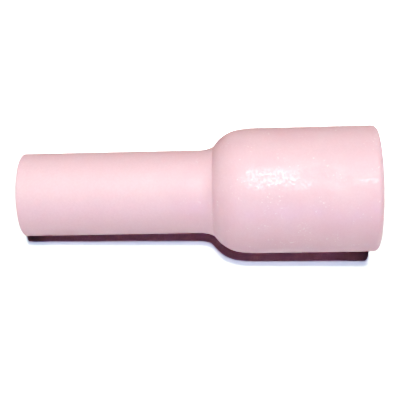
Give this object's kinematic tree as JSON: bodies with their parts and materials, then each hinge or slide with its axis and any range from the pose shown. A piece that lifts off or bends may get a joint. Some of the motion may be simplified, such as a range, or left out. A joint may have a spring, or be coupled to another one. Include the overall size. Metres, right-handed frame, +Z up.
{
  "type": "tig torch gas nozzle",
  "caption": "Long alumina gas nozzle of a TIG torch: wide threaded barrel for a gas lens, rounded shoulder and slim front tube.",
  "frame": {"origin": "centre of the rear rim's plane, at the threaded mouth, on the nozzle's axis", "axes": "+X along the axis, out of the threaded mouth towards the torch; the gas outlet is at the -X end; +Z up"},
  "size_m": [0.076, 0.0268, 0.0268],
  "materials": {
    "alumina": "satin"
  },
  "bodies": {
    "root": {"gas_nozzle": "alumina"}
  },
  "joints": []
}
